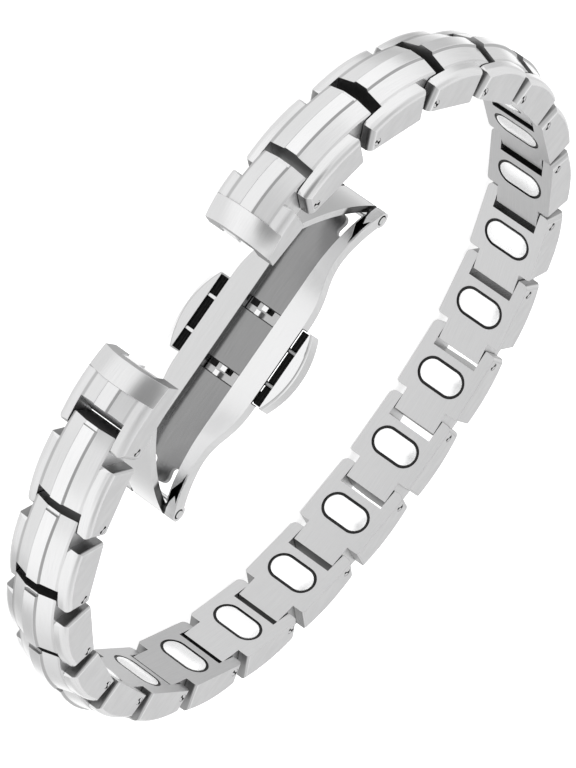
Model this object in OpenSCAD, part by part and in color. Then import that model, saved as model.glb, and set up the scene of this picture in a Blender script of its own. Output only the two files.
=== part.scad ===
// Linked bracelet with a double push-button folding clasp, in millimetres.
// The loop lies on its side in its relaxed form, with the clasp unfolded at the front.
// It is laid out flat first: X along the clasp, Y from the clasp into the loop, Z across the band.
// Then the whole loop leans on its lower button and its far links, as it does on a table.

/* [Band] */
// Distance between the two pins of a link
pitch = 9.2; // [9.15:0.05:9.25]
// Width of the band
band_w = 8.5; // [8.4:0.05:8.6]
// Depth of the inner face under the pins
inner_depth = 0.85; // [0.8:0.05:0.9]
// Height of the centre strip over the pins
crown_h = 4.1; // [4:0.05:4.2]
// Radius of the arch along a link's outer face
arch_r = 20.2; // [19.6:0.2:21]
// Half width of the slot between a link's ears
slot_half = 2.86; // [2.84:0.01:2.9]
// Half width of a link's tongue
tongue_half = 2.78; // [2.7:0.01:2.8]
// Radius of a link pin
pin_r = 0.44; // [0.42:0.01:0.45]

/* [Magnets] */
// Radius of a magnet's round ends
magnet_r = 1.37; // [1.36:0.01:1.42]
// Radius of the round ends of its pocket
pocket_r = 1.7; // [1.66:0.01:1.7]
// Half the distance between the centres of the round ends
magnet_half = 1.3; // [1.26:0.01:1.32]

/* [Clasp] */
// Half length of the clasp's flat middle
flat_half = 9.66; // [9.6:0.02:9.7]
// Distance of the tip hinges from the middle
tip_x = 18.12; // [18.08:0.02:18.16]
// Drop of the tip hinges under the flat top
tip_drop = 4.28; // [4.24:0.02:4.32]
// Thickness of the rails
rail_t = 1.56; // [1.5:0.02:1.6]
// Half width of the clasp at its middle
clasp_half = 4.92; // [4.9:0.01:4.94]
// Half width of the clasp at its tips
tip_half = 3.5; // [3.44:0.02:3.54]
// Half width of the channel between the rails
channel_half = 2.16; // [2.14:0.01:2.18]
// Depth of the channel's floor under the top
floor_drop = 0.92; // [0.9:0.01:0.94]
// Radius of the knuckles at the tips
knuckle_r = 0.9; // [0.88:0.01:0.92]
// Thickness of the folding arms
arm_t = 0.8; // [0.76:0.02:0.84]
// Half width of the folding arms
arm_half = 1.98; // [1.94:0.01:2]

/* [Buttons] */
// Height of a button's cap, down from the clasp's top
cap_h = 2.2; // [2.1:0.05:2.25]
// Half length of a button's cap
cap_half = 4.6; // [4.56:0.02:4.62]
// Depth of a cap at its middle
cap_depth = 1.43; // [1.4:0.01:1.46]
// Thickness of the spacer between rail and cap
spacer_t = 1; // [0.98:0.01:1.02]
// How far a button slides in
button_travel = 0.8; // [0.7:0.05:0.8]

/* [Hidden] */
$fn = 96;

steel = [0.84, 0.84, 0.85];
polished = [0.93, 0.93, 0.94];
black = [0.05, 0.05, 0.055];

// Gap kept between pieces that are assembled into each other
gap = 0.03;
// Overlap that joins two shapes of one piece, or lets a cut start clear of a face
lap = 0.01;
spare = 0.5;
// Length used for cuts that pass right through
through = 60;

// The loop's relaxed form: the turn at each link pin in degrees, from the lower end link to the upper one
TURNS = [14, 15, 21, 15, 14, 15, 18, 16, 18, 12, 11, 8, 15, 15, 19, 16, 15, 15, 14, 20, 22, 13];
links = len(TURNS) - 1;
first_pin = [14.6, -14.15];
first_heading = 10;

// A link's outline along the band, from its ear pin towards its tongue pin
ear_end = -1.06;
slot_end = 1.5;
shoulder = 7.12;
tongue_root = 1.6;
tongue_reach = 1.25;
tongue_foot = 0.49;
tongue_edge_h = 3.3;
tongue_outer = pitch + tongue_reach;
arch_x = 4.8;
ear_round = 0.7;
shoulder_round = 0.35;
tongue_round = 0.41;
corner_cut = 0.16;

// Its outer face across the band, as depths under the centre strip
strip_top = 0.72;
strip_foot = 0.92;
strip_step = 0.27;
strip_short = 0.42;
facet_drop = 0.85;

// The bars at its sides: a slope, then a round down to the side face, on an arch of their own
bar_start = tongue_half + gap;
bar_slope = 9.5;
bar_z = 3.5;
bar_r = 0.99;
bar_drop = facet_drop + tan(bar_slope) * (bar_z - bar_start);
bar_arch_r = 16;
bar_arch_x = 4.53;

// The smooth band of an end link: one arc across, which meets the bars at the side faces
band_r = 7;
band_drop = 0.12;

// A magnet's place, and how far it stands in its pocket
magnet_x = 4.1;
pocket_deep = 1.5;
magnet_sunk = 0.2;
magnet_dome_r = 5;
bedding_low = 0.12;
bedding_top = 0.1;

// A link pin's ends: just short of the side face and slotted, with a dimple at each end of the slot
pin_short = 0.02;
pin_slot_w = 0.14;
pin_slot_deep = 0.12;
pin_slot_turn = -37;
dimple_at = 0.3;
dimple_r = 0.18;
dimple_deep = 0.4;

// The end links: the lower one has ears and the upper one a tongue
end_free = 7.45;
end_band = 2.5;
end_shoulder = 2.25;
end_slot = 2.3;
end_slot_foot = 0.73;
end_slot_h = 3.4;
lower_crown = 3.83;
lower_arch_r = 17.1;
lower_arch_x = 1.84;
upper_crown = 3.75;
upper_arch_r = 12.4;
upper_arch_x = -2;
end_pocket_half = 2.3;
end_pocket_top = 1.2;
end_pocket_len = 3.6;
end_pin = [6.44, -0.28];
end_pin_r = 0.35;
end_pin_half = 3.2;
end_free_round = 0.1;

// The clasp: its tip arcs leave the flat top smoothly and run just inside the knuckles' crowns
tip_run = tip_x - flat_half;
crown_in = knuckle_r - 2 * lap;
tip_arc_r = (tip_run * tip_run + tip_drop * tip_drop - crown_in * crown_in) / (2 * (tip_drop - crown_in));
tip_angle = atan2(tip_run, tip_arc_r - tip_drop);
wide_half = 5.06;
narrow_x = 13.3;
waist_run = (narrow_x - wide_half) / 2;
waist_in = (clasp_half - tip_half) / 2;
waist_r = (waist_run * waist_run + waist_in * waist_in) / (2 * waist_in);
waist_x = (wide_half + narrow_x) / 2;
lobe_half = 1;
lobe_x = 15.5;
scoop_r = (channel_half - lobe_half) / 2;
hinge_pin_r = 0.45;
dish_r = 0.6;
dish_up = 0.13;
dish_deep = 0.25;

// The pockets in the rails' tips in plan, their depth, and the slit beside each knuckle
TIP_CUT = [[16.4, 2.28], [15.1, 3.05], [14.1, 3.28], [17.35, 3.28], [16.75, 2.9],
           [17.55, 2.5], [18.2, 2.35], [18.2, 2.28]];
tip_cut_deep = 1.1;
slit_x = 17.7;
slit_half = 2.33;

// The arms: one arc from the tip, then straight to the barrel in the end link
arm_r = 34.45;
arm_centre = [-14.44, 12.48];
arm_start = 13.8;
arm_end = 36.5;
barrel_r = 0.83;
tab_low = -0.7;
tab_high = 1.1;
tab_gap = 0.05;
tab_far = 0.2;

// The cross slots, their catches and the carrier bars that join them to the buttons
cross_slot = [2.94, 4.42];
cross_slot_drop = 1.36;
carrier = [3.02, 4.34];
carrier_top = 1.1;
carrier_t = 0.24;
carrier_ends = [-2, 1.8];

// Posts and dark pads on the bar: distance from its edge, place across, size along and across, and the top
POSTS = [[0, -0.22, 0.56, 0.66, 0.35], [0.76, -0.68, 0.56, 0.6, 0.42]];
PADS = [[0, -1.9, 0.64, 0.82, 0.96], [0, 0.5, 0.56, 0.36, 0.96]];
pocket_roof = 0.27;
pocket_depth = button_travel + 0.1;
spacer_half = 4.42;
spacer_room = 0.1;
spacer_top_drop = 0.42;
spacer_bottom_drop = 2;
groove_z = [0.34, 0.62];
groove_w = 0.1;
groove_deep = 0.08;
guide_x = 2.02;
guide_r = 0.27;
guide_drop = 0.42;
guide_inner = 3.15;
guide_out = 0.55;
guide_bore_out = 0.6;
cap_end_depth = 0.32;
cap_soft = 0.3;

// Places along the chain, in the flat layout
function heading(j) = j == 0 ? first_heading : heading(j - 1) + TURNS[j - 1];
function pin_at(j) = j == 0 ? first_pin : pin_at(j - 1) + pitch * [cos(heading(j)), sin(heading(j))];
function along(a) = [-cos(a), -sin(a)];
function outward(a) = [sin(a), -cos(a)];
function spot(place, a, p) = place + p[0] * along(a) + p[1] * outward(a);
upper_pin = pin_at(links);
upper_heading = heading(links + 1);
hinge_lower = spot(first_pin, first_heading, end_pin);
hinge_upper = spot(upper_pin, upper_heading, [-end_pin[0], end_pin[1]]);

// How the loop leans: on the lower button's edge and on the far links' lower edges
side_edge_h = 2.55;
edge_spots = [for (j = [1:links], x = [1:6]) spot(pin_at(j), heading(j), [x, side_edge_h])];
far_y = max([for (p = edge_spots) p[1]]);
half_w = band_w / 2;
button_low = clasp_half + spacer_t + cap_depth;
lean = atan((button_low - half_w) / (far_y - cap_h + cap_soft));

// The middle of the leaning loop's box, so that the origin is under it and on the table
function arch_h(x, peak, mid, r) = peak - pow(x - mid, 2) / (2 * r);
function crown_at(x) = arch_h(x, crown_h, arch_x, arch_r);
crown_spots = [for (j = [1:links], x = [2.2:1.3:9]) spot(pin_at(j), heading(j), [x, crown_at(x)])];
crown_x = [for (p = crown_spots) p[0]];
crown_y = [for (p = crown_spots) p[1]];
strip_end = end_free - end_band;
strip_end_h = arch_h(strip_end, lower_crown, lower_arch_x, lower_arch_r);
strip_tip = spot(first_pin, first_heading, [strip_end, strip_end_h]);
box_x = (min(crown_x) + max(crown_x)) / 2;
box_y = (max(crown_y) + strip_tip[1]) * cos(lean) / 2;
table_z = (button_low - cap_soft) * cos(lean) + (cap_h - cap_soft) * sin(lean) + cap_soft;

module placed() {
    translate([-box_x, -box_y, table_z])
        rotate([-lean, 0, 0])
            children();
}

module at_link(j) {
    translate([pin_at(j)[0], pin_at(j)[1], 0])
        rotate([0, 0, heading(j) + 180])
            children();
}

module at_end_lower() {
    at_link(0) children();
}

module at_end_upper() {
    translate([upper_pin[0], upper_pin[1], 0])
        rotate([0, 0, upper_heading + 180])
            children();
}

// A flat outline in X and Z, drawn along Y between two heights
module across(low, high) {
    translate([0, high, 0])
        rotate([90, 0, 0])
            linear_extrude(high - low)
                children();
}

// A rectangle with its corners rounded by one radius at its low end and another at its high end
module soft_rect(x0, x1, half, r0, r1) {
    translate([x0 + r0, -half])
        square([x1 - x0 - r0 - r1, 2 * half]);
    translate([x0, r0 - half])
        square([r0 + lap, 2 * (half - r0)]);
    translate([x1 - r1 - lap, r1 - half])
        square([r1 + lap, 2 * (half - r1)]);
    for (s = [-1, 1]) {
        translate([x0 + r0, s * (half - r0)])
            circle(r0);
        translate([x1 - r1, s * (half - r1)])
            circle(r1);
    }
}

module stadium(half, r) {
    translate([-r, -half])
        square([2 * r, 2 * half]);
    for (s = [-1, 1])
        translate([0, s * half])
            circle(r);
}

// The outer face of a link: a section across the band, swept round the arch along it
module arch(x, crown, r) {
    translate([x, crown - r, 0])
        rotate_extrude()
            children();
}

function section_low(r) = r - crown_h - inner_depth - spare;

module facet_section(r) {
    low = section_low(r);
    for (s = [0, 1])
        mirror([0, s])
            polygon([[low, -lap], [r - strip_step, -lap], [r - strip_step, strip_foot],
                     [r - facet_drop, bar_start], [low, bar_start]]);
}

module bar_section(r) {
    low = section_low(r);
    round_x = r - bar_drop - bar_r * cos(bar_slope);
    for (s = [0, 1])
        mirror([0, s]) {
            polygon([[low, bar_start - lap], [r - facet_drop, bar_start - lap],
                     [r - bar_drop, bar_z], [low, bar_z]]);
            translate([low, bar_z - lap])
                square([round_x - low, half_w - bar_z + lap]);
            intersection() {
                translate([round_x, bar_z - bar_r * sin(bar_slope)])
                    circle(bar_r);
                translate([low, bar_z - lap])
                    square([crown_h + inner_depth + 2 * spare, half_w - bar_z + lap]);
            }
        }
}

// The centre strip, with sloping sides
module strip_section(r) {
    foot = r - strip_step;
    polygon([[foot - spare, -strip_foot], [foot, -strip_foot], [r, -strip_top],
             [r, strip_top], [foot, strip_foot], [foot - spare, strip_foot]]);
}

module band_section(r) {
    low = section_low(r);
    intersection() {
        translate([r - band_drop - band_r, 0])
            circle(band_r);
        translate([low, -half_w])
            square([r - low, 2 * half_w]);
    }
}

// Side views, as outlines along X with Y outwards; the outer corners at the given heights are cut slightly
module body_side(x0, x1, h0, h1) {
    top = crown_h + spare;
    rise0 = top - h0 + corner_cut;
    rise1 = top - h1 + corner_cut;
    polygon([[x0, -inner_depth], [x1, -inner_depth], [x1, top - rise1], [x1 - rise1, top],
             [x0 + rise0, top], [x0, top - rise0]]);
}

module tongue_side(x0, pin_x) {
    polygon([[x0, -inner_depth], [pin_x + tongue_foot, -inner_depth], [pin_x + tongue_reach, tongue_edge_h],
             [pin_x + tongue_reach, crown_h + spare], [x0, crown_h + spare]]);
}

// An outline in X and Z, drawn through a link's whole height
module full_height() {
    across(-inner_depth - 1, crown_h + 1)
        children();
}

module pin_bore(x) {
    translate([x, 0, 0])
        cylinder(h = through, r = pin_r + gap, center = true);
}

module link() {
    front_h = arch_h(ear_end, crown_h, bar_arch_x, bar_arch_r) - bar_drop;
    back_h = arch_h(shoulder, crown_h, bar_arch_x, bar_arch_r) - bar_drop;
    color(steel)
        difference() {
            intersection() {
                union() {
                    arch(arch_x, crown_h, arch_r)
                        facet_section(arch_r);
                    arch(bar_arch_x, crown_h, bar_arch_r)
                        bar_section(bar_arch_r);
                    intersection() {
                        arch(arch_x, crown_h, arch_r)
                            strip_section(arch_r);
                        translate([slot_end - 1, 0, -half_w])
                            cube([tongue_outer - strip_short - slot_end + 1, crown_h + 1, band_w]);
                    }
                }
                union() {
                    intersection() {
                        linear_extrude(band_w + 2, center = true)
                            body_side(ear_end, shoulder, front_h, back_h);
                        full_height()
                            soft_rect(ear_end, shoulder, half_w, ear_round, shoulder_round);
                    }
                    intersection() {
                        linear_extrude(band_w + 2, center = true)
                            tongue_side(shoulder - tongue_root, pitch);
                        full_height()
                            soft_rect(shoulder - tongue_root, tongue_outer, tongue_half, 0, tongue_round);
                    }
                }
            }
            full_height()
                translate([ear_end - 1, -slot_half])
                    square([slot_end - ear_end + 1, 2 * slot_half]);
            translate([magnet_x, 0, 0])
                across(-inner_depth - 1, pocket_deep - inner_depth)
                    stadium(magnet_half, pocket_r);
            pin_bore(0);
            pin_bore(pitch);
        }
}

// An end link's outer face: strip and facets between two places, and the smooth band beyond
module end_face(peak, mid, r, facets, strip, band_x) {
    intersection() {
        arch(mid, peak, r) {
            facet_section(r);
            bar_section(r);
        }
        translate([facets[0], -through / 2, -half_w - 1])
            cube([facets[1] - facets[0], through, band_w + 2]);
    }
    intersection() {
        arch(mid, peak, r)
            strip_section(r);
        translate([strip[0], 0, -half_w])
            cube([strip[1] - strip[0], crown_h + 1, band_w]);
    }
    intersection() {
        arch(mid, peak, r)
            band_section(r);
        translate([band_x, -through / 2, -half_w - 1])
            cube([through, through, band_w + 2]);
    }
}

// The mouth at an end link's free end that takes the arm, and the bore of the arm's pin
module end_pocket(free) {
    low = min(free, free - sign(free) * end_pocket_len);
    translate([low - (free < 0 ? 1 : 0), -inner_depth - 1, -end_pocket_half])
        cube([end_pocket_len + 1, inner_depth + 1 + end_pocket_top, 2 * end_pocket_half]);
    translate([sign(free) * end_pin[0], end_pin[1], 0])
        cylinder(h = 2 * end_pin_half, r = end_pin_r + gap, center = true);
}

module end_link_lower() {
    band_start = end_free - end_band;
    front_h = arch_h(ear_end, lower_crown, lower_arch_x, lower_arch_r) - bar_drop;
    free_h = arch_h(end_free, lower_crown, lower_arch_x, lower_arch_r) - band_drop;
    placed() at_end_lower()
        color(polished)
            difference() {
                intersection() {
                    end_face(lower_crown, lower_arch_x, lower_arch_r, [-through, band_start],
                             [end_slot - 1, band_start], band_start);
                    linear_extrude(band_w + 2, center = true)
                        body_side(ear_end, end_free, front_h, free_h);
                    full_height()
                        soft_rect(ear_end, end_free, half_w, ear_round, end_free_round);
                }
                linear_extrude(2 * slot_half, center = true)
                    polygon([[ear_end - 1, -inner_depth - 1], [end_slot_foot, -inner_depth - 1],
                             [end_slot_foot, -inner_depth], [end_slot, end_slot_h],
                             [end_slot, crown_h + 1], [ear_end - 1, crown_h + 1]]);
                pin_bore(0);
                end_pocket(end_free);
            }
}

module end_link_upper() {
    band_start = end_band - end_free;
    free_h = arch_h(-end_free, upper_crown, upper_arch_x, upper_arch_r) - band_drop;
    back_h = arch_h(-end_shoulder, upper_crown, upper_arch_x, upper_arch_r) - bar_drop;
    placed() at_end_upper()
        color(polished)
            difference() {
                intersection() {
                    end_face(upper_crown, upper_arch_x, upper_arch_r, [band_start, through],
                             [band_start, tongue_reach - strip_short], band_start - through);
                    union() {
                        intersection() {
                            linear_extrude(band_w + 2, center = true)
                                body_side(-end_free, -end_shoulder, free_h, back_h);
                            full_height()
                                soft_rect(-end_free, -end_shoulder, half_w, end_free_round, shoulder_round);
                        }
                        intersection() {
                            linear_extrude(band_w + 2, center = true)
                                tongue_side(-end_shoulder - tongue_root, 0);
                            full_height()
                                soft_rect(-end_shoulder - tongue_root, tongue_reach, tongue_half,
                                          0, tongue_round);
                        }
                    }
                }
                pin_bore(0);
                end_pocket(-end_free);
            }
}

module magnets() {
    color(polished)
        placed()
            for (j = [1:links])
                at_link(j)
                    translate([magnet_x, -inner_depth, 0])
                        intersection() {
                            across(-1, pocket_deep - magnet_sunk)
                                stadium(magnet_half, magnet_r);
                            translate([0, magnet_dome_r - magnet_sunk, 0]) {
                                cylinder(h = 2 * magnet_half, r = magnet_dome_r, center = true);
                                for (s = [-1, 1])
                                    translate([0, 0, s * magnet_half])
                                        sphere(magnet_dome_r);
                            }
                        }
}

module magnet_bedding() {
    color(black)
        placed()
            for (j = [1:links])
                at_link(j)
                    translate([magnet_x, -inner_depth, 0])
                        across(bedding_low, pocket_deep - bedding_top)
                            difference() {
                                stadium(magnet_half, pocket_r - gap);
                                stadium(magnet_half, magnet_r + gap);
                            }
}

module link_pin() {
    end_half = half_w - pin_short;
    difference() {
        cylinder(h = 2 * end_half, r = pin_r, center = true);
        for (s = [-1, 1])
            translate([0, 0, s * end_half])
                rotate([0, 0, pin_slot_turn]) {
                    cube([2 * dimple_at, pin_slot_w, 2 * pin_slot_deep], center = true);
                    for (t = [-1, 1])
                        translate([t * dimple_at, 0, 0])
                            cylinder(h = 2 * dimple_deep, r = dimple_r, center = true);
                }
    }
}

module link_pins() {
    color(polished)
        placed()
            for (j = [0:links])
                at_link(j)
                    link_pin();
}

// The clasp's side view between two depths under its top, with its arched tips
module clasp_strip(top, bottom) {
    translate([-flat_half, top])
        square([2 * flat_half, bottom - top]);
    for (s = [0, 1])
        mirror([s, 0])
            intersection() {
                translate([flat_half, tip_arc_r])
                    difference() {
                        circle(tip_arc_r - top);
                        circle(tip_arc_r - bottom);
                    }
                translate([flat_half, tip_arc_r])
                    polygon([[0, 0], [0, -through], [through, -through],
                             through * [sin(tip_angle), -cos(tip_angle)]]);
            }
}

module clasp_plan() {
    for (s = [0, 1])
        mirror([s, 0]) {
            translate([0, -clasp_half])
                square([wide_half, 2 * clasp_half]);
            intersection() {
                translate([wide_half, clasp_half - waist_r])
                    circle(waist_r);
                translate([wide_half, waist_r - clasp_half])
                    circle(waist_r);
                translate([wide_half, -clasp_half])
                    square([waist_run, 2 * clasp_half]);
            }
            difference() {
                translate([waist_x, -clasp_half])
                    square([waist_run, 2 * clasp_half]);
                for (t = [-1, 1])
                    translate([narrow_x, t * (tip_half + waist_r)])
                        circle(waist_r);
            }
            translate([narrow_x, -tip_half])
                square([tip_x + 3 - narrow_x, 2 * tip_half]);
        }
}

// The window at each tip, with a round lobe of the floor between two scoops
module floor_ends() {
    for (s = [0, 1])
        mirror([s, 0]) {
            difference() {
                translate([lobe_x - scoop_r, -channel_half])
                    square([through, 2 * channel_half]);
                translate([lobe_x - scoop_r - 1, -lobe_half])
                    square([1 + scoop_r, 2 * lobe_half]);
                translate([lobe_x, 0])
                    circle(lobe_half);
            }
            for (t = [-1, 1])
                translate([lobe_x - scoop_r, t * (lobe_half + scoop_r)])
                    circle(scoop_r);
        }
}

// What is cut out of a rail: a pocket in its tip, a slit beside the knuckle and a dish round the pin
module tip_pocket() {
    intersection() {
        linear_extrude(clasp_half)
            clasp_strip(-1, tip_cut_deep);
        across(-1, through / 2)
            polygon(TIP_CUT);
    }
    translate([slit_x, 0, channel_half - 1])
        cube([through, through, slit_half - channel_half + 1]);
    translate([tip_x, tip_drop - dish_up, tip_half - dish_deep])
        cylinder(h = 1, r = dish_r);
}

module clasp_body() {
    color(steel)
        placed()
            difference() {
                intersection() {
                    union() {
                        for (s = [0, 1])
                            mirror([0, 0, s])
                                translate([0, 0, channel_half])
                                    linear_extrude(clasp_half - channel_half + 1) {
                                        clasp_strip(0, rail_t);
                                        for (t = [-1, 1])
                                            translate([t * tip_x, tip_drop])
                                                circle(knuckle_r);
                                    }
                        linear_extrude(2 * channel_half, center = true)
                            clasp_strip(floor_drop, rail_t);
                    }
                    across(-1, through / 2)
                        clasp_plan();
                }
                across(-1, through / 2)
                    intersection() {
                        floor_ends();
                        square([through, 2 * channel_half], center = true);
                    }
                for (s = [0, 1])
                    mirror([s, 0, 0]) {
                        translate([cross_slot[0], floor_drop - lap, -through / 2])
                            cube([cross_slot[1] - cross_slot[0], cross_slot_drop - floor_drop + lap,
                                  through]);
                        translate([tip_x, tip_drop, 0])
                            cylinder(h = through, r = hinge_pin_r + gap, center = true);
                    }
                for (s = [0, 1], u = [0, 1])
                    mirror([s, 0, 0])
                        mirror([0, 0, u])
                            tip_pocket();
                for (s = [0, 1])
                    mirror([0, 0, s]) {
                        translate([-spacer_half - spacer_room, pocket_roof, clasp_half - pocket_depth])
                            cube([2 * (spacer_half + spacer_room), rail_t, pocket_depth + 1]);
                        for (t = [-1, 1])
                            translate([t * guide_x, guide_drop, guide_inner - pocket_depth])
                                cylinder(h = through, r = guide_r + gap);
                    }
            }
}

// An arm in the flat layout, from the tip hinge on the given side to the barrel in its end link
module arm(side, hinge, place_heading) {
    bend = side < 0 ? [-hinge[0], hinge[1]] : hinge;
    from = arm_centre + arm_r * [cos(arm_end), -sin(arm_end)];
    run = [-sin(arm_end), -cos(arm_end)];
    inward = [-cos(arm_end), sin(arm_end)];
    reach = (bend - from) * run;
    difference() {
        union() {
            linear_extrude(2 * arm_half, center = true)
                mirror([side < 0 ? 1 : 0, 0]) {
                    intersection() {
                        translate(arm_centre)
                            difference() {
                                circle(arm_r, $fn = 360);
                                circle(arm_r - arm_t, $fn = 360);
                            }
                        translate(arm_centre)
                            polygon([[0, 0], through * [cos(arm_start), -sin(arm_start)],
                                     through * [cos(arm_end), -sin(arm_end)]]);
                    }
                    polygon([from, from + reach * run, from + reach * run + arm_t * inward,
                             from + arm_t * inward]);
                    translate([tip_x, tip_drop])
                        circle(knuckle_r);
                    translate(bend)
                        circle(barrel_r);
                }
            // The arm's end that shows in the far half of the end link's mouth
            translate([hinge[0], hinge[1], -arm_half])
                rotate([0, 0, place_heading + 180])
                    translate([side > 0 ? 0 : tab_gap - end_free + end_pin[0], tab_low, 0])
                        cube([end_free - end_pin[0] - tab_gap, tab_high - tab_low, arm_half - tab_far]);
        }
        translate([side * tip_x, tip_drop, 0])
            cylinder(h = through, r = hinge_pin_r + gap, center = true);
        translate([hinge[0], hinge[1], 0])
            cylinder(h = through, r = end_pin_r + gap, center = true);
    }
}

module clasp_arm_lower() {
    color(polished)
        placed()
            arm(1, hinge_lower, first_heading);
}

module clasp_arm_upper() {
    color(polished)
        placed()
            arm(-1, hinge_upper, upper_heading);
}

module clasp_pins() {
    color(polished)
        placed() {
            for (s = [-1, 1])
                translate([s * tip_x, tip_drop, 0])
                    cylinder(h = 2 * tip_half + 0.04, r = hinge_pin_r, center = true);
            for (p = [hinge_lower, hinge_upper])
                translate([p[0], p[1], 0])
                    cylinder(h = 2 * end_pin_half - 2 * gap, r = end_pin_r, center = true);
        }
}

// A half-moon cap: its outer edge is an arc through its ends and its middle, softened top and bottom
module cap() {
    rise = cap_depth - cap_end_depth;
    cap_r = (cap_half * cap_half + rise * rise) / (2 * rise);
    base = clasp_half + spacer_t;
    intersection() {
        translate([0, 0, base + cap_depth - cap_r])
            rotate([-90, 0, 0])
                rotate_extrude() {
                    square([cap_r - cap_soft, cap_h]);
                    translate([0, cap_soft])
                        square([cap_r, cap_h - 2 * cap_soft]);
                    for (y = [cap_soft, cap_h - cap_soft])
                        translate([cap_r - cap_soft, y])
                            circle(cap_soft);
                }
        translate([-cap_half, -1, base + gap])
            cube([2 * cap_half, cap_h + 2, cap_depth]);
    }
}

module button() {
    color(steel)
        difference() {
            cap();
            for (s = [-1, 1])
                translate([s * guide_x, guide_drop, 0])
                    cylinder(h = clasp_half + spacer_t + guide_bore_out, r = guide_r + gap);
        }
}

// Where the bar of a button starts, along the clasp
function bar_edge(side) = side > 0 ? carrier[0] : -carrier[1];

module spacer(side) {
    color(black) {
        difference() {
            translate([-spacer_half, spacer_top_drop, clasp_half + gap])
                cube([2 * spacer_half, spacer_bottom_drop - spacer_top_drop, spacer_t - gap]);
            for (z = groove_z)
                translate([-through / 2, spacer_top_drop - 1, clasp_half + z - groove_w / 2])
                    cube([through, 1 + groove_deep, groove_w]);
            for (s = [-1, 1])
                translate([s * guide_x, guide_drop, 0])
                    cylinder(h = through, r = guide_r + gap);
        }
        // The dark pads on the bar, on both sides of the posts
        for (p = PADS)
            translate([bar_edge(side) + p[0], p[4], side > 0 ? p[1] : -p[1] - p[3]])
                cube([p[2], carrier_top - p[4] - 2 * lap, p[3]]);
    }
}

module guide_pins() {
    color(polished)
        for (s = [-1, 1])
            translate([s * guide_x, guide_drop, guide_inner])
                cylinder(h = clasp_half + spacer_t + guide_out - guide_inner, r = guide_r);
}

// A catch: two posts in the cross slot, on a bar that runs under the rail to the spacer
module catch_bar(side) {
    z0 = side > 0 ? carrier_ends[0] : -clasp_half;
    z1 = side > 0 ? clasp_half : carrier_ends[1];
    color(polished) {
        translate([bar_edge(side), carrier_top, z0])
            cube([carrier[1] - carrier[0], carrier_t, z1 - z0]);
        for (p = POSTS)
            translate([bar_edge(side) + p[0], p[4], p[1]])
                cube([p[2], carrier_top - p[4] + lap, p[3]]);
    }
}

module button_top() {
    placed() button();
}

module button_bottom() {
    placed() mirror([0, 0, 1]) button();
}

module spacer_top() {
    placed() spacer(1);
}

module spacer_bottom() {
    placed() mirror([0, 0, 1]) spacer(-1);
}

module guide_pins_top() {
    placed() guide_pins();
}

module guide_pins_bottom() {
    placed() mirror([0, 0, 1]) guide_pins();
}

module catch_top() {
    placed() catch_bar(1);
}

module catch_bottom() {
    placed() catch_bar(-1);
}

for (j = [1:links])
    placed() at_link(j) link();
end_link_lower();
end_link_upper();
magnets();
magnet_bedding();
link_pins();
clasp_body();
clasp_arm_lower();
clasp_arm_upper();
clasp_pins();
button_top();
button_bottom();
spacer_top();
spacer_bottom();
guide_pins_top();
guide_pins_bottom();
catch_top();
catch_bottom();
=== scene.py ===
"""Looks of a linked titanium bracelet: metal finishes, fine edges, soft studio light and the camera."""
import math

import bpy
from mathutils import Matrix, Vector

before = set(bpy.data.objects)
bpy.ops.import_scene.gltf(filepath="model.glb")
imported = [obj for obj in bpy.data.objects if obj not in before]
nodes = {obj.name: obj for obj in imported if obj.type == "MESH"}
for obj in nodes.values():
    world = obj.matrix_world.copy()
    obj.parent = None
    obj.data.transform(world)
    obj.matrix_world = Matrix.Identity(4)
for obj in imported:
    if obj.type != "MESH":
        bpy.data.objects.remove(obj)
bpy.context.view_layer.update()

MM = 0.001

# The bracelet leans on its lower button: its own axes along its clasp, across the band and into the loop,
# and its clasp's middle. Places on the bracelet are in millimetres from that middle, along these axes:
# x, z and y. A larger y lies deeper in the clasp's channel, which opens away from the loop.
LEAN = math.radians(3.494)
ALONG = Vector((1, 0, 0))
ACROSS = Vector((0, math.sin(LEAN), math.cos(LEAN)))
INWARD = Vector((0, math.cos(LEAN), -math.sin(LEAN)))
MIDDLE = Vector((-0.36, -17.79, 7.453)) * MM

# A tone that changes at a place does so over the width called soft. A pair called turn holds two cosines
# of a surface's slant, between which a tone changes.

# All metals: streaks along and across the band per metre, edges that catch the light, and painted shade
# in narrow gaps.
# A point is painted dark as shade where the open share of what lies within the reach is the opening's
# first value, and has its full tone from the second value on.
STREAK_ALONG = 400
STREAK_ACROSS = 22000
STREAK_DETAIL = 3.0
STREAK_FINENESS = 0.6
STREAK_ROUGHNESS = 0.8
NOISE_RANGE = (0.3, 0.7)
EDGE_WIDTH = 0.06 * MM
EDGE_SAMPLES = 4
GAP_REACH = 0.4 * MM
GAP_SAMPLES = 6
GAP_OPENING = (0.2, 0.6)
GAP_SHADE_TONE = 0.08
BLUE_SHARE = 1.004

# Links: the centre strip, the two lines beside it that are painted shade on its steps, the valleys beside
# the bars, painted dark as shade, and the slot, whose walls are painted darker as shade on the far links
STRIP_HALF = 0.7
STRIP_SOFT = 0.06
LINE_START = 0.76
LINE_END = 0.9
LINE_SOFT = 0.04
FAR_VALLEY = (-2.8, -2.62)
FAR_VALLEY_SOFT = 0.2
NEAR_VALLEY = (2.62, 2.72)
NEAR_VALLEY_SOFT = 0.15
SLOT_HALF = 2.9
SLOT_SOFT = 0.1
FAR_LINKS_START = 12
FAR_LINKS_SOFT = 4

# Links: which way a surface faces when it counts as the outer face, a side face, an end wall or
# the end wall of an end link's slot; both kinds of end wall are painted dark as shade
OUTER_TURN = (0.1, 0.4)
SIDE_TURN = (0.93, 0.98)
WALL_TURN = (0.35, 0.6)
END_WALL_SHADE_TURN = (0.5, 0.62)

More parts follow.
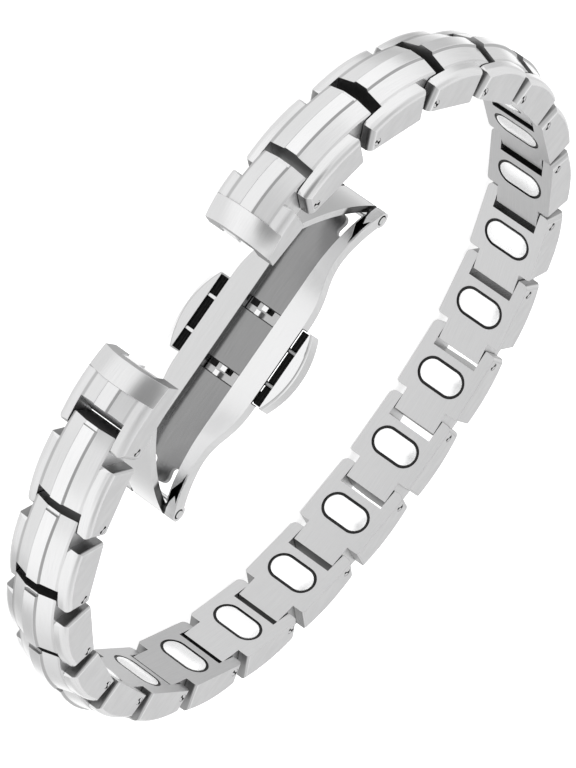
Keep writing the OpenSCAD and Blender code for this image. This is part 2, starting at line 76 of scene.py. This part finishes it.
# Links: tones, roughness and the strength of the streaks
FACET_TONE = 0.86
STRIP_TONE = 0.92
INNER_TONE = 0.66
SIDE_TONE = 0.86
# End walls are painted dark as shade, and darker still in the slots of the far links
WALL_SHADE_TONE = 0.32
FAR_SLOT_SHADE_TONE = 0.14
# The two lines beside the strip are painted shade on the strip's steps
NEAR_STEP_SHADE_TONE = 0.5
FAR_STEP_SHADE_TONE = 0.74
# The valleys beside the bars are painted darker as shade
FAR_VALLEY_SHADE_TONE = 0.58
NEAR_VALLEY_SHADE_TONE = 0.74
INNER_ROUGH = 0.34
OUTER_ROUGH = 0.17
SIDE_ROUGH = 0.3
LINK_STREAK = 0.025

# End links: the way towards the smooth band, as its side in x and its slant out of the loop in degrees,
# the place along that way where the band starts, and the band's tone, painted a little darker as shade on
# the lower end link
LOWER_END = {"side": -1, "slant": 10, "start": -6.97, "tone": 0.8}
UPPER_END = {"side": 1, "slant": 9, "start": -8.51, "tone": 0.86}
END_SOFT = 0.04
END_ROUGH = 0.5

# Clasp body: the channel, the rails' side faces, and the hollows and edges beside the spacers, places of
# painted light and shade
CHANNEL_HALF = 2.1
CHANNEL_SOFT = 0.1
CHANNEL_DEPTH = 0.1
CHANNEL_DEPTH_SOFT = 0.2
RAIL_SIDE = 3.4
RAIL_SIDE_SOFT = 0.09
RAIL_SIDE_TURN = (0.9, 0.97)
SPACER_HALF = 4.55
SPACER_SOFT = 0.1
HOLLOW_START = 2.35
HOLLOW_SOFT = 0.1
HOLLOW_DEPTH = 0.26
HOLLOW_DEPTH_SOFT = 0.04

# Clasp body: the rails curve down at the tips round two axes, this far from the middle and from the top;
# the pockets there, painted dark as shade, lie between two half widths and under the curved top
TIP_AXIS = 9.66 * MM
TIP_CURVE = 13.105 * MM
TIP_START = 13.5
TIP_SOFT = 0.4
POCKET_DEPTH = 0.06
POCKET_DEPTH_SOFT = 0.1
POCKET_INNER = 2.14
POCKET_OUTER = 3.26
POCKET_SOFT = 0.04

# From the far to the near side of the clasp tones change over this width, for the painted light and shade
# that make the far side's pieces darker and the near side's lighter
NEAR_SOFT = 2

# Clasp body: tones and finish
FAR_RAIL_SHADE_TONE = 0.68
NEAR_RAIL_LIGHT_TONE = 0.86
CHANNEL_SHADE_TONE = 0.31
CLASP_SIDE_LIGHT_TONE = 0.98
SPACER_EDGE_SHADE_TONE = 0.12
POCKET_SHADE_TONE = 0.05
CLASP_ROUGH = 0.24
CLASP_STREAK = 0.02

# Arms: the lower arm is painted lighter as light, their edges are painted bright as highlight, and they
# turn dark as painted shade near the tip hinges
ARM_EDGE_TURN = (0.8, 0.95)
ARM_TIP_START = -1.6
ARM_TIP_SOFT = 0.7
ARM_SIDE_START = -1
ARM_SIDE_SOFT = 2
ARM_TONE = 0.74
LOWER_ARM_LIGHT_TONE = 0.98
ARM_EDGE_HIGHLIGHT_TONE = 0.95
ARM_TIP_SHADE_TONE = 0.08
ARM_ROUGH = 0.22
ARM_STREAK = 0.015

# Catches: posts stand on bars, which lie deeper and are painted darker as shade
CATCH_BAR_DEPTH = 0.55
CATCH_BAR_SOFT = 0.15
CATCH_POST_TONE = 0.92
CATCH_BAR_SHADE_TONE = 0.5
CATCH_ROUGH = 0.2

# Link pins: all that lies under the end face at 4.23 mm is a slot or dimple, painted near black as shade
PIN_END = 4.212
PIN_END_SOFT = 0.016
HOLE_SHADE_TONE = 0.01
PIN_ROUGH = 0.3

# Buttons, guide pins, magnets and hinge pins, and the streaks of the smallest pieces
FAR_CAP_SHADE_TONE = 0.7
NEAR_CAP_LIGHT_TONE = 0.88
CAP_ROUGH = 0.2
CAP_STREAK = 0.015
GUIDE_TURN = (0.5, 0.8)
FAR_GUIDE_TONE = 0.8
NEAR_GUIDE_SHADE_TONE = 0.35
GUIDE_SIDE_SHADE_TONE = 0.05
GUIDE_ROUGH = 0.15
MAGNET_TONE = 0.92
MAGNET_ROUGH = 0.25
MAGNET_METALLIC = 0.75
HINGE_TONE = 0.93
HINGE_ROUGH = 0.15
HINGE_STREAK = 0.015
SMALL_STREAK = 0.01

# Black resin in the spacers, and a black ring round the magnets: grain per metre, darkest and lightest
# tone
BLACK_GRAIN = 3000.0
BLACK_TONES = (0.003, 0.007)
BEDDING_ROUGH = 0.3
BEDDING_SHINE = 0.3
SPACER_ROUGH = 0.5
SPACER_SHINE = 0.12

# Soft cards of light round the object: azimuth, elevation, inner and outer half angle, strength
CARDS = [
    (112, -4, 10, 50, 0.17),
    (-112, -4, 10, 50, 0.17),
    (60, -29, 5, 22, -0.26),
    (-60, -29, 5, 22, -0.28),
    (21, -25, 4, 15, 0.25),
    (-21, -25, 4, 15, 0.25),
    (38, -13, 4, 15, -0.10),
    (-38, -13, 4, 15, -0.10),
    (36, -40, 5, 18, -0.10),
    (-36, -40, 5, 18, -0.12),
    (180, -24, 10, 45, 0.18),
    (180, 30, 10, 34, -0.52),
    (133, 16, 5, 20, -0.14),
    (-133, 16, 5, 20, -0.14),
    (0, 20, 8, 26, -0.22),
    (5, 54, 8, 24, 0.30),
    (80, 40, 5, 25, -0.12),
    (-80, 40, 5, 25, -0.12),
    (-112, 58, 5, 28, -0.2),
    (110, 58, 5, 28, -0.22),
]
SKY = 0.86

# Floor: a large plane just under the lowest point, lit mostly by its own light, as white as the
# photograph's background
FLOOR_SIZE = 3.0
FLOOR_DROP = 0.02 * MM
FLOOR_TONE = 0.5
FLOOR_ROUGH = 0.9
FLOOR_GLOW = 0.72

# Key light: a soft disk, in degrees, metres and watts
KEY_AZIMUTH = 200
KEY_ELEVATION = 60
KEY_DISTANCE = 0.6
KEY_SIZE = 0.5
KEY_POWER = 6

# Camera: the point of the frame that it looks at, from how far, its angles in degrees, its lens and film
# width in millimetres, and the range that it sees in metres
AIM = Vector((0.79, -3.62, 7.4)) * MM
DISTANCE = 600.1 * MM
AZIMUTH = 1.405
ELEVATION = 27.431
ROLL = 125.343
LENS = 272.48
FILM_WIDTH = 36
CLIP_START = 0.01
CLIP_END = 10


class Graph:
    """Adds nodes to a node tree and links them in one call."""

    def __init__(self, tree):
        self.tree = tree
        tree.nodes.clear()

    def add(self, kind, settings=None, *values, **named):
        """A new node: its settings, its first inputs in order, and others by name with _ for a space."""
        node = self.tree.nodes.new(kind)
        for key, value in (settings or {}).items():
            setattr(node, key, value)
        for place, value in enumerate(values):
            self.feed(node, place, value)
        for key, value in named.items():
            self.feed(node, key.replace("_", " "), value)
        return node

    def feed(self, node, key, value):
        """Sets an input, or links it where the value is another node or one of its outputs."""
        socket = node.inputs[key]
        if isinstance(value, bpy.types.Node):
            value = value.outputs[0]
        if isinstance(value, bpy.types.NodeSocket):
            self.tree.links.new(value, socket)
        else:
            socket.default_value = value

    def math(self, operation, a, b=0.0, c=0.0):
        return self.add("ShaderNodeMath", {"operation": operation}, a, b, c)

    def product(self, *factors):
        total = factors[0]
        for factor in factors[1:]:
            total = self.math("MULTIPLY", total, factor)
        return total

    def vector_math(self, operation, a, b=(0, 0, 0)):
        return self.add("ShaderNodeVectorMath", {"operation": operation}, a, b)

    def dot(self, a, b):
        return self.vector_math("DOT_PRODUCT", a, b).outputs["Value"]

    def ramp(self, value, low, high, to_low=0.0, to_high=1.0):
        """Goes smoothly from to_low to to_high while the value goes from low to high."""
        settings = {"interpolation_type": "SMOOTHSTEP"}
        node = self.add("ShaderNodeMapRange", settings, value, low, high, to_low, to_high)
        return node.outputs["Result"]

    def above(self, value, edge, soft):
        """0 up to edge and 1 from edge + soft on, in millimetres."""
        return self.ramp(value, edge * MM, (edge + soft) * MM)

    def below(self, value, edge, soft):
        """1 up to edge and 0 from edge + soft on, in millimetres."""
        return self.ramp(value, edge * MM, (edge + soft) * MM, 1.0, 0.0)

    def window(self, value, low, high, soft):
        """1 between low and high and 0 beyond them, in millimetres, with soft flanks."""
        return self.product(self.above(value, low - soft, soft), self.below(value, high, soft))

    def mix_value(self, share, a, b):
        """a where share is 0 and b where it is 1."""
        node = self.add("ShaderNodeMix", {"data_type": "FLOAT"})
        self.feed(node, 0, share)
        self.feed(node, 2, a)
        self.feed(node, 3, b)
        return node.outputs[0]

    def colour(self, red, green, blue):
        return self.add("ShaderNodeCombineColor", None, red, green, blue)


class Surface:
    """The place and normal of a surface point, measured in the bracelet's own directions."""

    def __init__(self, g):
        self.g = g
        geometry = g.add("ShaderNodeNewGeometry")
        self.position = geometry.outputs["Position"]
        self.normal = geometry.outputs["Normal"]
        self.from_middle = g.vector_math("SUBTRACT", self.position, MIDDLE)
        self.x = g.dot(self.from_middle, ALONG)
        self.y = g.dot(self.from_middle, INWARD)
        self.z = g.dot(self.from_middle, ACROSS)
        self.length_out = g.math("ABSOLUTE", self.x)
        self.width_out = g.math("ABSOLUTE", self.z)
        self.facing_side = g.math("ABSOLUTE", g.dot(self.normal, ACROSS))

    def facing_out(self):
        """How much the surface faces away from the loop's middle."""
        g = self.g
        flat = g.vector_math("MULTIPLY", self.position, (1, 1, 0))
        return g.dot(self.normal, g.vector_math("NORMALIZE", flat))

    def streaks(self, strength):
        """Fine streaks that run round the loop: quick across the band, slow along it."""
        g = self.g
        scale = (STREAK_ALONG, STREAK_ALONG, STREAK_ACROSS)
        mapped = g.add("ShaderNodeMapping", {"vector_type": "POINT"}, Vector=self.position, Scale=scale)
        noise = g.add("ShaderNodeTexNoise", Vector=mapped, Scale=1.0, Detail=STREAK_DETAIL,
                      Roughness=STREAK_FINENESS)
        return g.ramp(noise.outputs["Fac"], *NOISE_RANGE, -strength, strength)

    def near_side(self):
        """0 on the far half of the clasp and 1 on the near half."""
        return self.g.above(self.z, 0, NEAR_SOFT)

    def tip_depth(self):
        """Depth under the curved top of the clasp's tips."""
        g = self.g
        along = g.math("SUBTRACT", self.length_out, TIP_AXIS)
        down = g.math("SUBTRACT", self.y, TIP_CURVE)
        squares = g.math("ADD", g.product(along, along), g.product(down, down))
        return g.math("SUBTRACT", TIP_CURVE, g.math("SQRT", squares))


def new_material(name):
    material = bpy.data.materials.new(name)
    material.use_nodes = True
    return material, Graph(material.node_tree)


def finish_shader(g, shader):
    g.add("ShaderNodeOutputMaterial", Surface=shader)


def metal(g, tone, rough, streak, metallic=1.0):
    """A metal shader of a grey tone, whose sharp edges catch the light and whose narrow gaps are painted
    dark as shade.
    """
    around = g.add("ShaderNodeAmbientOcclusion", {"samples": GAP_SAMPLES}, Distance=GAP_REACH)
    # Painted shade: the tone is darkened where little open space lies round the point, as in narrow gaps
    gap_shade = g.ramp(around.outputs["AO"], *GAP_OPENING, GAP_SHADE_TONE, 1.0)
    tone = g.product(g.math("ADD", tone, streak), gap_shade)
    rough = g.math("ADD", rough, g.product(streak, STREAK_ROUGHNESS))
    colour = g.colour(tone, tone, g.product(tone, BLUE_SHARE))
    edge = g.add("ShaderNodeBevel", {"samples": EDGE_SAMPLES}, Radius=EDGE_WIDTH)
    shader = g.add("ShaderNodeBsdfPrincipled", Base_Color=colour, Metallic=metallic, Roughness=rough,
                   Normal=edge, Specular_IOR_Level=0.0)
    finish_shader(g, shader)


def band_metal(name, end=None):
    """Titanium links: satin inner plates, polished outer facets, a bright centre strip with painted shade
    on its steps and in the valleys by the bars, and end walls painted dark as shade.

    end describes the smooth band of an end link, whose slot's end wall is painted dark as shade and loses
    its metal shine.
    """
    material, g = new_material(name)
    s = Surface(g)
    out = s.facing_out()
    outer = g.ramp(out, *OUTER_TURN)
    side = g.ramp(s.facing_side, *SIDE_TURN)
    facing = g.math("MAXIMUM", g.math("ABSOLUTE", out), s.facing_side)
    # Painted shade: end walls are darker, and the slots' walls on the far links darker still
    wall = g.ramp(facing, *WALL_TURN, 1.0, 0.0)
    in_slot = g.below(s.width_out, SLOT_HALF, SLOT_SOFT)
    far_slot_shade = g.product(in_slot, g.above(s.y, FAR_LINKS_START, FAR_LINKS_SOFT))
    wall_shade_tone = g.mix_value(far_slot_shade, WALL_SHADE_TONE, FAR_SLOT_SHADE_TONE)
    tone = g.mix_value(g.below(s.width_out, STRIP_HALF, STRIP_SOFT), FACET_TONE, STRIP_TONE)
    # Painted shade: darker lines along the strip's steps
    tone = g.mix_value(g.window(s.z, LINE_START, LINE_END, LINE_SOFT), tone, NEAR_STEP_SHADE_TONE)
    tone = g.mix_value(g.window(s.z, -LINE_END, -LINE_START, LINE_SOFT), tone, FAR_STEP_SHADE_TONE)
    # Painted shade in the valleys between the bars and the facets
    tone = g.mix_value(g.window(s.z, *FAR_VALLEY, FAR_VALLEY_SOFT), tone, FAR_VALLEY_SHADE_TONE)
    tone = g.mix_value(g.window(s.z, *NEAR_VALLEY, NEAR_VALLEY_SOFT), tone, NEAR_VALLEY_SHADE_TONE)
    metallic = 1.0
    if end:
        slant = math.radians(end["slant"])
        towards = ALONG * end["side"] * math.cos(slant) - INWARD * math.sin(slant)
        band = g.above(g.dot(s.from_middle, towards), end["start"] - END_SOFT / 2, END_SOFT)
        # The band's tone is painted a little darker as shade on the lower end link
        tone = g.mix_value(band, tone, end["tone"])
        # Painted shade: the end wall of an end link's slot is dark and loses its metal shine
        dull = g.ramp(g.dot(s.normal, -towards), *END_WALL_SHADE_TURN)
        wall = g.math("MAXIMUM", wall, dull)
        metallic = g.math("SUBTRACT", 1.0, dull)
    tone = g.mix_value(outer, INNER_TONE, tone)
    tone = g.mix_value(side, tone, SIDE_TONE)
    tone = g.mix_value(wall, tone, wall_shade_tone)
    rough = g.mix_value(outer, INNER_ROUGH, OUTER_ROUGH)
    if end:
        rough = g.mix_value(band, END_ROUGH, rough)
    rough = g.mix_value(side, rough, SIDE_ROUGH)
    metal(g, tone, rough, s.streaks(LINK_STREAK), metallic)
    return material


def clasp_metal(name):
    """The clasp's body: rails painted darker on the far side as shade and lighter on the near side as
    light, rail sides painted bright as light, and a channel, hollows by the spacers and pockets in the
    tips painted dark as shade.
    """
    material, g = new_material(name)
    s = Surface(g)
    # Painted light and shade: the far rail darker, the near rail lighter
    tone = g.mix_value(s.near_side(), FAR_RAIL_SHADE_TONE, NEAR_RAIL_LIGHT_TONE)
    deep = g.above(s.y, CHANNEL_DEPTH, CHANNEL_DEPTH_SOFT)
    inside = g.product(g.below(s.width_out, CHANNEL_HALF, CHANNEL_SOFT), deep)
    # Painted shade: inside the channel, below the rails' top, the tone is darker
    tone = g.mix_value(inside, tone, CHANNEL_SHADE_TONE)
    # Painted light: the rails' outer side faces are lighter than their tops
    outermost = g.above(s.width_out, RAIL_SIDE, RAIL_SIDE_SOFT)
    side = g.product(g.ramp(s.facing_side, *RAIL_SIDE_TURN), outermost)
    tone = g.mix_value(side, tone, CLASP_SIDE_LIGHT_TONE)
    # Painted shade: the side faces beside the spacers are dark
    beside_spacer = g.below(s.length_out, SPACER_HALF, SPACER_SOFT)
    tone = g.mix_value(g.product(side, beside_spacer), tone, SPACER_EDGE_SHADE_TONE)
    # Painted shade: the hollows under the rails' roof beside the spacers are near black
    under_roof = g.above(s.y, HOLLOW_DEPTH, HOLLOW_DEPTH_SOFT)
    hollow = g.product(g.above(s.width_out, HOLLOW_START, HOLLOW_SOFT), under_roof)
    tone = g.mix_value(g.product(hollow, beside_spacer), tone, POCKET_SHADE_TONE)
    # Painted shade: the pockets under the curved tops of the tips are near black
    beyond = g.above(s.length_out, TIP_START, TIP_SOFT)
    beside = g.above(s.width_out, POCKET_INNER, POCKET_SOFT)
    within = g.below(s.width_out, POCKET_OUTER, POCKET_SOFT)
    under = g.above(s.tip_depth(), POCKET_DEPTH, POCKET_DEPTH_SOFT)
    tone = g.mix_value(g.product(beyond, beside, under, within), tone, POCKET_SHADE_TONE)
    metal(g, tone, CLASP_ROUGH, s.streaks(CLASP_STREAK))
    return material


def arm_metal(name):
    """The folding arms: plates, the lower one painted lighter as light, whose edges are painted bright as
    highlight and dark as shade towards the tip hinges.
    """
    material, g = new_material(name)
    s = Surface(g)
    edge = g.ramp(s.facing_side, *ARM_EDGE_TURN)
    near_tip = g.above(s.y, ARM_TIP_START, ARM_TIP_SOFT)
    # Painted light: the lower arm is lighter than the upper
    tone = g.mix_value(g.above(s.x, ARM_SIDE_START, ARM_SIDE_SOFT), ARM_TONE, LOWER_ARM_LIGHT_TONE)
    # Painted highlight along the arms' edges
    tone = g.mix_value(edge, tone, ARM_EDGE_HIGHLIGHT_TONE)
    # Painted shade: the edges turn near black towards the tip hinges
    tone = g.mix_value(g.product(edge, near_tip), tone, ARM_TIP_SHADE_TONE)
    metal(g, tone, ARM_ROUGH, s.streaks(ARM_STREAK))
    return material


def catch_metal(name):
    """The catches: bright post tops on bars painted grey as shade."""
    material, g = new_material(name)
    s = Surface(g)
    # Painted shade: the deeper bars are greyer than the post tops
    bar = g.above(s.y, CATCH_BAR_DEPTH, CATCH_BAR_SOFT)
    metal(g, g.mix_value(bar, CATCH_POST_TONE, CATCH_BAR_SHADE_TONE), CATCH_ROUGH, s.streaks(SMALL_STREAK))
    return material


def link_pin_metal(name):
    """The link pins: ends of the side faces' tone, with slots and dimples painted dark as shade."""
    material, g = new_material(name)
    s = Surface(g)
    # Painted shade: all below the end face is near black
    end_face = g.above(s.width_out, PIN_END, PIN_END_SOFT)
    metal(g, g.mix_value(end_face, HOLE_SHADE_TONE, SIDE_TONE), PIN_ROUGH, s.streaks(SMALL_STREAK))
    return material


def button_metal(name):
    """The buttons: polished caps, the one on the far side painted a little greyer as shade."""
    material, g = new_material(name)
    s = Surface(g)
    # Painted shade: the far cap is greyer than the near one
    tone = g.mix_value(s.near_side(), FAR_CAP_SHADE_TONE, NEAR_CAP_LIGHT_TONE)
    metal(g, tone, CAP_ROUGH, s.streaks(CAP_STREAK))
    return material


def magnet_metal(name):
    """The magnets: bright plating that scatters part of the light."""
    material, g = new_material(name)
    s = Surface(g)
    metal(g, MAGNET_TONE, MAGNET_ROUGH, s.streaks(SMALL_STREAK), MAGNET_METALLIC)
    return material


def guide_metal(name):
    """The guide pins: bright along their backs, painted dark down their sides as shade, and painted
    greyer on the near side as shade.
    """
    material, g = new_material(name)
    s = Surface(g)
    turned = g.math("ABSOLUTE", g.dot(s.normal, ALONG))
    # Painted shade: the near guide pins are greyer than the far ones
    back = g.mix_value(s.near_side(), FAR_GUIDE_TONE, NEAR_GUIDE_SHADE_TONE)
    # Painted shade down the sides of the round pins
    tone = g.mix_value(g.ramp(turned, *GUIDE_TURN), back, GUIDE_SIDE_SHADE_TONE)
    metal(g, tone, GUIDE_ROUGH, s.streaks(SMALL_STREAK))
    return material


def hinge_pin_metal(name):
    """The hinge pins: polished and bright."""
    material, g = new_material(name)
    s = Surface(g)
    metal(g, HINGE_TONE, HINGE_ROUGH, s.streaks(HINGE_STREAK))
    return material


def black_grained(name, roughness, shine):
    """A black material with a faint grain, as the spacers' resin and the ring round the magnets."""
    material, g = new_material(name)
    place = g.add("ShaderNodeNewGeometry").outputs["Position"]
    noise = g.add("ShaderNodeTexNoise", Vector=place, Scale=BLACK_GRAIN)
    tone = g.ramp(noise.outputs["Fac"], *NOISE_RANGE, *BLACK_TONES)
    shader = g.add("ShaderNodeBsdfPrincipled", Base_Color=g.colour(tone, tone, tone), Roughness=roughness,
                   Specular_IOR_Level=shine)
    finish_shader(g, shader)
    return material


def dress(names, material):
    """Gives the material to every slot of the named CAD nodes."""
    for name in names:
        slots = nodes[name].data.materials
        for k in range(len(slots)):
            slots[k] = material


def direction(azimuth, elevation):
    """A unit vector: azimuth 0 along +Y and 90 along +X, elevation above the horizon, in degrees."""
    a = math.radians(azimuth)
    e = math.radians(elevation)
    return Vector((math.sin(a) * math.cos(e), math.cos(a) * math.cos(e), math.sin(e)))


def studio_world():
    """An even grey sky with the soft cards of light on it."""
    world = bpy.data.worlds.new("studio")
    bpy.context.scene.world = world
    world.use_nodes = True
    g = Graph(world.node_tree)
    look = g.add("ShaderNodeTexCoord").outputs["Generated"]
    total = SKY
    for azimuth, elevation, inner, outer, strength in CARDS:
        near = g.dot(look, direction(azimuth, elevation))
        rim = math.cos(math.radians(outer))
        core = math.cos(math.radians(inner))
        total = g.math("ADD", g.ramp(near, rim, core, 0.0, strength), total)
    background = g.add("ShaderNodeBackground", Color=g.colour(total, total, total), Strength=1.0)
    g.add("ShaderNodeOutputWorld", Surface=background)


def pale_floor():
    bpy.ops.mesh.primitive_plane_add(size=FLOOR_SIZE, location=(0, 0, -FLOOR_DROP))
    floor = bpy.context.object
    floor.name = "floor"
    material, g = new_material("pale_floor")
    colour = (FLOOR_TONE, FLOOR_TONE, FLOOR_TONE, 1)
    shader = g.add("ShaderNodeBsdfPrincipled", Base_Color=colour, Roughness=FLOOR_ROUGH,
                   Emission_Color=(1, 1, 1, 1), Emission_Strength=FLOOR_GLOW)
    finish_shader(g, shader)
    floor.data.materials.append(material)
    floor.visible_glossy = False


def key_light():
    data = bpy.data.lights.new("key", "AREA")
    data.shape = "DISK"
    data.size = KEY_SIZE
    data.energy = KEY_POWER
    light = bpy.data.objects.new("key", data)
    bpy.context.scene.collection.objects.link(light)
    towards = direction(KEY_AZIMUTH, KEY_ELEVATION)
    light.location = towards * KEY_DISTANCE
    light.rotation_mode = "QUATERNION"
    light.rotation_quaternion = towards.to_track_quat("Z", "Y")
    light.visible_glossy = False


def photo_camera():
    """The camera that was fitted to the photograph; AZIMUTH is the way it looks."""
    data = bpy.data.cameras.new("camera")
    data.lens = LENS
    data.sensor_width = FILM_WIDTH
    data.clip_start = CLIP_START
    data.clip_end = CLIP_END
    camera = bpy.data.objects.new("camera", data)
    bpy.context.scene.collection.objects.link(camera)
    back = direction(AZIMUTH + 180, ELEVATION)
    level = back.to_track_quat("Z", "Y").to_matrix().to_4x4()
    turn = Matrix.Rotation(math.radians(ROLL), 4, "Z")
    camera.matrix_world = Matrix.Translation(AIM + back * DISTANCE) @ level @ turn
    bpy.context.scene.camera = camera


links = sorted(n for n in nodes if n.startswith("link_") and n != "link_pins")
dress(links, band_metal("titanium_links"))
dress(["end_link_lower"], band_metal("titanium_lower_end", LOWER_END))
dress(["end_link_upper"], band_metal("titanium_upper_end", UPPER_END))
dress(["clasp_body"], clasp_metal("clasp_steel"))
dress(["clasp_arm_lower", "clasp_arm_upper"], arm_metal("arm_steel"))
dress(["catch_top", "catch_bottom"], catch_metal("catch_steel"))
dress(["button_top", "button_bottom"], button_metal("button_steel"))
dress(["link_pins"], link_pin_metal("link_pin_steel"))
dress(["clasp_pins"], hinge_pin_metal("pin_steel"))
dress(["guide_pins_top", "guide_pins_bottom"], guide_metal("guide_pin_steel"))
dress(["magnets"], magnet_metal("magnet_plating"))
dress(["magnet_bedding"], black_grained("black_bedding", BEDDING_ROUGH, BEDDING_SHINE))
dress(["spacer_top", "spacer_bottom"], black_grained("black_spacer", SPACER_ROUGH, SPACER_SHINE))

studio_world()
pale_floor()
key_light()
photo_camera()
bpy.context.scene.view_settings.view_transform = "Standard"
